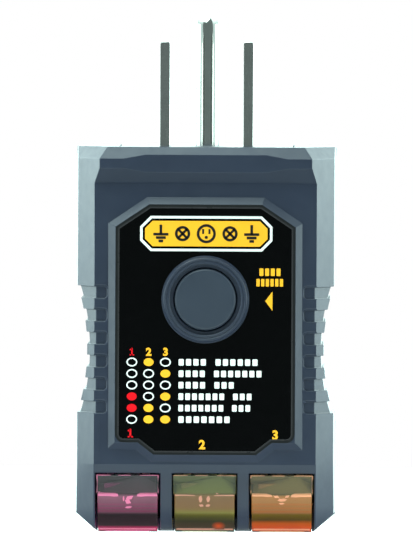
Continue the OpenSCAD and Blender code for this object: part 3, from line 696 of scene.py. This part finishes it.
def badge():
    """A yellow plate with a white border and a row of electrical symbols."""
    x, z = BADGE
    border = bmesh.new()
    inside = cut_corner(x, z, BADGE_W - 2 * BORDER_W, BADGE_H - 2 * BORDER_W, BORDER_CUT)
    raised_frame(border, cut_corner(x, z, BADGE_W, BADGE_H, BADGE_CUT), inside)
    thin_piece(border, "badge_border", "white_ink")
    plate = bmesh.new()
    inset = BORDER_W + PLATE_GAP
    raised(plate, cut_corner(x, z, BADGE_W - 2 * inset, BADGE_H - 2 * inset, PLATE_CUT), top=PLATE_T)
    thin_piece(plate, "badge_plate", "yellow_ink")
    marks = bmesh.new()
    on_plate = dict(top=PLATE_T + INK_T, bottom=PLATE_T - INK_SUNK)
    outlet_face(marks, x, z, on_plate)
    for side in (-1, 1):
        lamp_symbol(marks, x + side * LAMP_PLACE, z, on_plate)
        ground_symbol(marks, x + side * GROUND_PLACE, z, on_plate)
    thin_piece(marks, "badge_symbols", "black_ink_and_painted_shade")


def outlet_face(bm, x, z, heights):
    """A round outlet: a ring with two slots and a ground hole."""
    ring_r = MARK_R + 0.1
    raised_frame(bm, circle(x, z, ring_r), circle(x, z, ring_r - MARK_LINE), **heights)
    for side in (-1, 1):
        slot_x = x + side * 0.48
        bar(bm, slot_x - 0.15, z - 0.05, slot_x + 0.15, z + 0.72, **heights)
    raised(bm, circle(x, z - 0.55, 0.24, 16), **heights)


def lamp_symbol(bm, x, z, heights):
    """A ring with a cross in it."""
    raised_frame(bm, circle(x, z, LAMP_R), circle(x, z, LAMP_R - MARK_LINE), **heights)
    reach = (LAMP_R - MARK_LINE / 2) * math.sqrt(0.5)
    for side in (-1, 1):
        start, end = (x - reach, z - side * reach), (x + reach, z + side * reach)
        stroke(bm, start, end, MARK_LINE * 0.9, **heights)


def ground_symbol(bm, x, z, heights):
    """A stem on three bars that get shorter."""
    foot = z - 0.1
    bar(bm, x - MARK_LINE / 2, foot, x + MARK_LINE / 2, z + MARK_R, **heights)
    for k, half in enumerate((1.15, 0.75, 0.35)):
        low = foot - k * 0.52
        bar(bm, x - half, low - MARK_LINE / 2, x + half, low + MARK_LINE / 2, **heights)


def label_outline():
    """The label's own outline, from its front side, counter-clockwise."""
    bm = mesh_of("front_label")
    following = {}
    for face in bm.faces:
        if face.normal.y > -0.9:
            continue
        for loop in face.loops:
            if sum(f.normal.y < -0.9 for f in loop.edge.link_faces) == 1:
                following[loop.vert] = loop.link_loop_next.vert
    start = vert = next(iter(following))
    outline = []
    while vert is not start or not outline:
        outline.append(Vector((vert.co.x / MM, vert.co.z / MM)))
        vert = following[vert]
    bm.free()
    return [p for i, p in enumerate(outline) if (p - outline[i - 1]).length > 0.01]


MITRE_LIMIT = 0.3


def grown(outline, by):
    """An outline moved outwards, with mitred corners."""
    moved = []
    for i, point in enumerate(outline):
        before = (point - outline[i - 1]).normalized()
        after = (outline[(i + 1) % len(outline)] - point).normalized()
        out = Vector((before.y + after.y, -before.x - after.x)).normalized()
        moved.append(point + out * by / max(out.dot(Vector((after.y, -after.x))), MITRE_LIMIT))
    return moved


# How far the gap and the edge reach out from the label's outline, and what they overlap inwards
GAP_TO = 0.56
EDGE_TO = 0.22
GAP_LAP = 0.01
EDGE_LAP = 0.02
GAP_T = 0.02
EDGE_T = 0.04


def label_border():
    """A black ring of painted shade in the gap round the label, and the thin edge of its plate in a lighter
    grey, partly a painted highlight.
    """
    outline = label_outline()
    gap, edge = bmesh.new(), bmesh.new()
    raised_frame(gap, grown(outline, GAP_TO), grown(outline, EDGE_TO - GAP_LAP), top=GAP_T)
    raised_frame(edge, grown(outline, EDGE_TO), grown(outline, -EDGE_LAP), top=EDGE_T)
    thin_piece(gap, "label_gap_painted_shade", "black_ink_and_painted_shade")
    thin_piece(edge, "label_edge_painted_highlight", "label_edge_painted_highlight")


chart()
lamp_marks()
badge()
label_border()

# ------------------------------------------------------------------ inside the lenses
# A diffuser lies in each lens's front wall, coloured in bands of painted reflections, highlights and shade,
# with bright shapes in front of it that are painted highlights and a painted glow.
# Depths are behind the lens's front.

LENS_STEP_Z = 6.0    # a lens is narrower below this
DIFFUSER_DEPTH = 0.22
DIFFUSER_T = 0.2
DIFFUSER_ROWS = 36
RIDGED = (3.4, 5.9)  # from this height to this one a diffuser has level ridges
RIDGE_H = 0.03
# How far a diffuser keeps from a lens's sides, above the step and below it, and from its top
UPPER_INSET = 0.12
LOWER_INSET = 0.32
TOP_INSET = 0.15
DIFFUSER_FOOT = 0.35

SLICE = 0.15         # height of the strips in which a shape follows a lens's front
PAINTED_LIGHT_T = 0.05
PAINTED_LIGHT_DEPTH = 0.14
GLINT_DEPTH = 0.09
# Outline of a painted highlight bar, the bright stripe on the right of the lamp, from the lens's middle, at
# its full thickness
STRIPE = ((1.5, 6.05), (2.3, 6.38), (4.5, 6.45), (4.5, 5.7), (3.0, 5.7), (2.1, 5.62), (1.4, 5.66))
STRIPE_Z = 5.82      # a thinner bar shrinks towards this height
# A painted highlight line along the lens's foot
FOOT_LINE = ((-4.3, 0.5), (4.3, 0.5), (4.3, 0.72), (-4.3, 0.72))
# Painted highlight lines along a lens's top and sides
EDGE_DEPTH = 0.06
EDGE_INSET = 0.1
EDGE_W = 0.14
SIDE_LINE_FOOT = 6.3
# The top line's stretches, as shares of the lens's half-width
TOP_LINE = ((-1, -0.55), (-0.3, 0.1), (0.4, 1))
# Painted highlights for the glints on the lamp's rounded tip: x, z, half-width, half-height, lean
TIP_GLINTS = {
    "red": (
        (-1.45, 6.7, 0.36, 0.12, 0.3), (-0.2, 6.85, 0.36, 0.11, 0.0), (1.05, 6.8, 0.4, 0.12, -0.2),
        (0.3, 5.45, 0.6, 0.3, 0.5), (0.05, 4.85, 0.5, 0.36, -0.5), (-0.6, 5.3, 0.14, 0.42, -0.1),
        (0.15, 3.98, 0.55, 0.17, 0.15),
    ),
    "olive": (
        (-0.62, 5.3, 0.3, 0.55, -0.15), (0.55, 5.3, 0.3, 0.5, 0.15), (-0.5, 4.3, 0.38, 0.2, -0.3),
        (0.5, 4.3, 0.38, 0.2, 0.3), (-0.9, 6.65, 0.7, 0.07, 0.1), (0.9, 6.65, 0.7, 0.07, -0.1),
        (1.9, 6.2, 0.2, 0.16, 0.0),
    ),
    "orange": (
        (-1.2, 6.55, 0.4, 0.1, 0.2), (0.0, 6.8, 0.45, 0.09, 0.0), (1.1, 6.55, 0.4, 0.1, -0.2),
        (-0.8, 5.7, 0.55, 0.2, -0.6), (0.1, 5.2, 0.75, 0.25, 0.1), (0.85, 5.75, 0.35, 0.18, 0.6),
        (0.0, 4.65, 0.45, 0.15, 0.0),
    ),
}
GLOW_SPOT_R = 0.74
GLOW_SPOT_STRETCH = 1.5


def lens_front():
    """The front of a lens from its top down, as (y, z)."""
    bm = mesh_of("centre_amber_lens")
    fronts = {}
    for vert in bm.verts:
        if abs(vert.co.x) > 4.5 * MM:
            z = round(vert.co.z / MM, 3)
            fronts[z] = min(fronts.get(z, 0), vert.co.y / MM)
    bm.free()
    return [(y, z) for z, y in sorted(fronts.items(), reverse=True) if y < -4]


LENS_FRONT = lens_front()


def front_at(z):
    """Where the front of a lens lies at a height, as its y."""
    for (y1, z1), (y0, z0) in zip(LENS_FRONT, LENS_FRONT[1:]):
        if z0 <= z <= z1:
            return y0 + (y1 - y0) * (z - z0) / (z1 - z0)
    return LENS_FRONT[-1][0] if z < LENS_FRONT[-1][1] else LENS_FRONT[0][0]


def in_lens(bm, outline, depth):
    """Adds a thin shape that follows the lens's front."""
    flat = bmesh.new()
    flat.faces.new([flat.verts.new((x * MM, 0, z * MM)) for x, z in outline])
    level = min(z for x, z in outline) // SLICE * SLICE + SLICE
    while level < max(z for x, z in outline):
        bmesh.ops.bisect_plane(
            flat, geom=flat.verts[:] + flat.edges[:] + flat.faces[:],
            plane_co=(0, 0, level * MM), plane_no=(0, 0, 1),
        )
        level += SLICE
    grown_back = bmesh.ops.extrude_face_region(flat, geom=flat.faces[:], use_keep_orig=True)["geom"]
    behind = {v for v in grown_back if isinstance(v, bmesh.types.BMVert)}
    for vert in flat.verts:
        vert.co.y = (front_at(vert.co.z / MM) + depth + (PAINTED_LIGHT_T if vert in behind else 0)) * MM
    shape = bpy.data.meshes.new("shape")
    flat.to_mesh(shape)
    flat.free()
    bm.from_mesh(shape)
    bpy.data.meshes.remove(shape)


def painted_light_diffuser(bm, x, half_w, z_low, z_high):
    """Adds a plate that follows the lens's front, with fine level ridges across its middle band."""
    across = [-1, -0.5, 0, 0.5, 1]
    grid = []
    for k in range(DIFFUSER_ROWS + 1):
        z = z_low + (z_high - z_low) * k / DIFFUSER_ROWS
        ridge = RIDGE_H if k % 2 and RIDGED[0] < z < RIDGED[1] else 0.0
        y = front_at(z) + DIFFUSER_DEPTH - ridge
        grid.append([bm.verts.new(((x + t * half_w) * MM, y * MM, z * MM)) for t in across])
    for low, high in zip(grid, grid[1:]):
        for a in range(len(across) - 1):
            bm.faces.new((low[a], low[a + 1], high[a + 1], high[a]))
    edge = [grid[0], [row[-1] for row in grid], grid[-1][::-1], [row[0] for row in grid][::-1]]
    ring = [v for side in edge for v in side[:-1]]
    back = [bm.verts.new(v.co + Vector((0, DIFFUSER_T * MM, 0))) for v in ring]
    side_walls(bm, ring, back)
    bm.faces.new(back[::-1])


def leaning(x, z, half_w, half_h, lean):
    """The outline of a small six-sided painted highlight."""
    return [
        (x - half_w, z - lean * half_w), (x - half_w * 0.4, z - half_h), (x + half_w * 0.5, z - half_h * 0.8),
        (x + half_w, z + lean * half_w), (x + half_w * 0.4, z + half_h), (x - half_w * 0.6, z + half_h * 0.7),
    ]


def box_outline(x0, z0, x1, z1):
    """A rectangle's outline."""
    return [(x0, z0), (x1, z0), (x1, z1), (x0, z1)]


def inside_lens(node, hue, left_bar, right_bar):
    """A lens's diffuser with its painted bands, and in front of it painted highlights: two bars, glints on
    the lamp tip, a foot line and lines along the top and sides. The bars' thickness is a share of the full
    one.
    """
    low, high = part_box(node)
    x = (low.x + high.x) / 2 / MM
    half = (high.x - low.x) / 2 / MM
    plate = bmesh.new()
    painted_light_diffuser(plate, x, half - UPPER_INSET, LENS_STEP_Z, high.z / MM - TOP_INSET)
    painted_light_diffuser(plate, x, half - LOWER_INSET, DIFFUSER_FOOT, LENS_STEP_Z)
    thin_piece(plate, node + "_diffuser", hue + "_diffuser")

    painted_highlights = bmesh.new()
    bars = ((-1, left_bar), (1, right_bar))
    for side, share in bars:
        outline = [(x + side * u, STRIPE_Z + (z - STRIPE_Z) * share) for u, z in STRIPE]
        in_lens(painted_highlights, outline, PAINTED_LIGHT_DEPTH)
    for away, *shape in TIP_GLINTS[hue]:
        in_lens(painted_highlights, leaning(x + away, *shape), GLINT_DEPTH)
    in_lens(painted_highlights, [(x + u, z) for u, z in FOOT_LINE], PAINTED_LIGHT_DEPTH)
    top, wide = high.z / MM - EDGE_INSET, half - EDGE_INSET
    for start, end in TOP_LINE:
        in_lens(painted_highlights, box_outline(x + start * wide, top - EDGE_W / 2, x + end * wide, top), EDGE_DEPTH)
    for side, share in bars:
        inner, outer = sorted((side * wide, side * (wide - EDGE_W * share)))
        in_lens(painted_highlights, box_outline(x + inner, SIDE_LINE_FOOT, x + outer, top), EDGE_DEPTH)
    thin_piece(painted_highlights, node + "_prisms", hue + "_glint")


inside_lens("red_lens", "red", 1.0, 1.0)
inside_lens("centre_amber_lens", "olive", 0.25, 0.25)
inside_lens("right_amber_lens", "orange", 0.7, 1.0)
# The painted glow: a bright orange spot at the foot of the middle lens
painted_glow = bmesh.new()
in_lens(painted_glow, oval(*GLOW_SPOT, GLOW_SPOT_STRETCH * GLOW_SPOT_R, GLOW_SPOT_R), PAINTED_LIGHT_DEPTH)
thin_piece(painted_glow, "centre_amber_lens_ember", "painted_glow")

# ------------------------------------------------------------------ floor

FLOOR_R = 300
FLOOR_SIDES = 96
# The floor's glow is a painted pool of light round the object's foot
FLOOR_GLOW = 1.7     # at the object's foot, fading out by GLOW_R
GLOW_R = 70


def pale_floor():
    """A plain pale disc with a painted pool of light round the object: it glows brightest at the object's
    foot and fades out by GLOW_R.
    """
    bm = bmesh.new()
    bmesh.ops.create_circle(bm, cap_ends=True, segments=FLOOR_SIDES, radius=FLOOR_R * MM)
    mesh = bpy.data.meshes.new("floor")
    bm.to_mesh(mesh)
    bm.free()
    finish = shader("pale_floor", (0.85, 0.85, 0.85), 0.6)
    tree = finish.node_tree
    coords = tree.nodes.new("ShaderNodeTexCoord")
    away = tree.nodes.new("ShaderNodeVectorMath")
    away.operation = "LENGTH"
    # The painted pool of light: emission that fades with distance from the middle
    glow = tree.nodes.new("ShaderNodeMapRange")
    glow.inputs["From Max"].default_value = GLOW_R * MM
    glow.inputs["To Min"].default_value = FLOOR_GLOW
    glow.inputs["To Max"].default_value = 0.0
    tree.links.new(coords.outputs["Object"], away.inputs[0])
    tree.links.new(away.outputs["Value"], glow.inputs[0])
    tree.links.new(glow.outputs[0], principled_of(finish).inputs["Emission Strength"])
    principled_of(finish).inputs["Emission Color"].default_value = (0.9, 1.0, 1.0, 1)
    mesh.materials.append(finish)
    made = bpy.data.objects.new("floor", mesh)
    made.visible_glossy = False
    bpy.context.scene.collection.objects.link(made)
    return made


floor = pale_floor()

# ------------------------------------------------------------------ light

SKY_TINT = (0.78, 1.0, 0.97)
# How bright the studio is, with white at 1
SIDE_LEVEL = 0.9
BACK_LEVEL = 1.15
SWEEP_LEVEL = 3.2    # added straight behind the object
CEILING_LEVEL = 1.0  # added overhead
FRONT_LEVEL = 0.2
FOREGROUND_LEVEL = 1.6
UNDER_LEVEL = 0.35
# Where one level passes into the next, along a part of the way to the sky that runs from -1 to 1
WEDGE_SLOPE = 0.81   # the dark front is where |x| is less than this times -y
WEDGE_RIM = (-0.08, 0.08)
OVERHEAD = (0.82, 0.92)
TO_BACK = (-0.15, 0.35)
TO_SWEEP = (0.75, 0.97)
TO_CEILING = (0.2, 0.8)
FROM_BELOW = (-0.35, -0.1)
FROM_FOREGROUND = (-0.85, -0.3)


def world_light():
    """A white studio: brightest behind and overhead, dimmer beside, dark behind the camera.

    The camera itself sees plain white.
    """
    world = bpy.data.worlds.new("studio")
    bpy.context.scene.world = world
    world.use_nodes = True
    tree = world.node_tree
    tree.nodes.clear()
    links = tree.links

    def math_node(operation, a, b=0.0):
        made = tree.nodes.new("ShaderNodeMath")
        made.operation = operation
        for i, value in enumerate((a, b)):
            if hasattr(value, "links"):
                links.new(value, made.inputs[i])
            else:
                made.inputs[i].default_value = value
        return made.outputs[0]

    def ramp(value, between, levels=(0.0, 1.0)):
        """Passes smoothly from one level to the other as the value passes between two limits."""
        made = tree.nodes.new("ShaderNodeMapRange")
        made.interpolation_type = "SMOOTHSTEP"
        made.inputs["From Min"].default_value, made.inputs["From Max"].default_value = between
        made.inputs["To Min"].default_value, made.inputs["To Max"].default_value = levels
        links.new(value, made.inputs[0])
        return made.outputs[0]

    def blended(amount, with_it, without_it):
        """A mix of two levels."""
        without_it = math_node("MULTIPLY", without_it, math_node("SUBTRACT", 1.0, amount))
        return math_node("ADD", math_node("MULTIPLY", with_it, amount), without_it)

    coords = tree.nodes.new("ShaderNodeTexCoord")
    split = tree.nodes.new("ShaderNodeSeparateXYZ")
    links.new(coords.outputs["Generated"], split.inputs[0])
    x, y, z = split.outputs
    wedge = math_node("ADD", math_node("ABSOLUTE", x), math_node("MULTIPLY", y, WEDGE_SLOPE))
    open_sky = math_node("MAXIMUM", ramp(wedge, WEDGE_RIM), ramp(z, OVERHEAD))
    level = ramp(y, TO_BACK, (SIDE_LEVEL, BACK_LEVEL))
    level = math_node("ADD", level, ramp(z, TO_CEILING, (0.0, CEILING_LEVEL)))
    level = math_node("ADD", level, ramp(y, TO_SWEEP, (0.0, SWEEP_LEVEL)))
    strength = blended(open_sky, level, FRONT_LEVEL)
    under = ramp(y, FROM_FOREGROUND, (FOREGROUND_LEVEL, UNDER_LEVEL))
    strength = blended(ramp(z, FROM_BELOW, (1.0, 0.0)), under, strength)

    path = tree.nodes.new("ShaderNodeLightPath")
    shown = tree.nodes.new("ShaderNodeMix")
    links.new(path.outputs["Is Camera Ray"], shown.inputs["Factor"])
    links.new(strength, shown.inputs["A"])
    shown.inputs["B"].default_value = 1.0
    tint = tree.nodes.new("ShaderNodeMix")
    tint.data_type = "RGBA"
    links.new(path.outputs["Is Camera Ray"], tint.inputs["Factor"])
    tint.inputs[6].default_value = (*SKY_TINT, 1)
    tint.inputs[7].default_value = (1, 1, 1, 1)
    background = tree.nodes.new("ShaderNodeBackground")
    links.new(tint.outputs[2], background.inputs[0])
    links.new(shown.outputs[0], background.inputs[1])
    out = tree.nodes.new("ShaderNodeOutputWorld")
    links.new(background.outputs[0], out.inputs[0])


def softbox(name, place, target, size, level):
    """A lamp panel that faces a target. Its level is on the scale of the studio's white."""
    data = bpy.data.lights.new(name, "AREA")
    data.shape = "RECTANGLE"
    data.size, data.size_y = (side * MM for side in size)
    data.energy = level * math.pi * data.size * data.size_y
    data.color = SKY_TINT
    made = bpy.data.objects.new(name, data)
    made.location = Vector(place) * MM
    toward = (Vector(target) - Vector(place)).normalized()
    made.rotation_euler = toward.to_track_quat("-Z", "Y").to_euler()
    made.visible_camera = False
    bpy.context.scene.collection.objects.link(made)


world_light()
for side, rim_level in ((-1, 3.95), (1, 3.9)):
    softbox("rim_light", (side * 140, 80, 97), (0, -5, 67), (130, 110), rim_level)
    softbox("low_rim_light", (side * 140, 80, 21), (0, -5, 21), (130, 40), 1.7)
    softbox("side_light", (side * 170, -48, 60), (0, -13, 40), (80, 120), 4.0)
softbox("top_light", (-50, -62, 190), (0, -13, 57), (150, 100), 4.6)
bpy.context.scene.view_settings.view_transform = "Standard"

# ------------------------------------------------------------------ camera

CAMERA_AIM = (0.15, FACE_Y, 39.41)
CAMERA_FAR = 2500
# Degrees to the right of the face, above it, and of roll
AZIMUTH = 0.6
ELEVATION = 1.2
ROLL = 0.27
IMAGE_H = 550
PIXELS_PER_MM = 6.58
SENSOR_H = 36


def photo_camera():
    """The camera, far off, a little to the right of the face and a little above it."""
    azimuth, elevation = math.radians(AZIMUTH), math.radians(ELEVATION)
    data = bpy.data.cameras.new("camera")
    data.sensor_fit = "VERTICAL"
    data.sensor_height = SENSOR_H
    data.lens = SENSOR_H * PIXELS_PER_MM * CAMERA_FAR / IMAGE_H
    made = bpy.data.objects.new("camera", data)
    bpy.context.scene.collection.objects.link(made)
    away = Vector((
        math.sin(azimuth) * math.cos(elevation),
        -math.cos(azimuth) * math.cos(elevation),
        math.sin(elevation),
    ))
    made.location = (Vector(CAMERA_AIM) + away * CAMERA_FAR) * MM
    facing = away.to_track_quat("Z", "Y")
    made.rotation_euler = (facing @ Quaternion((0, 0, 1), math.radians(ROLL))).to_euler()
    return made


bpy.context.scene.camera = photo_camera()
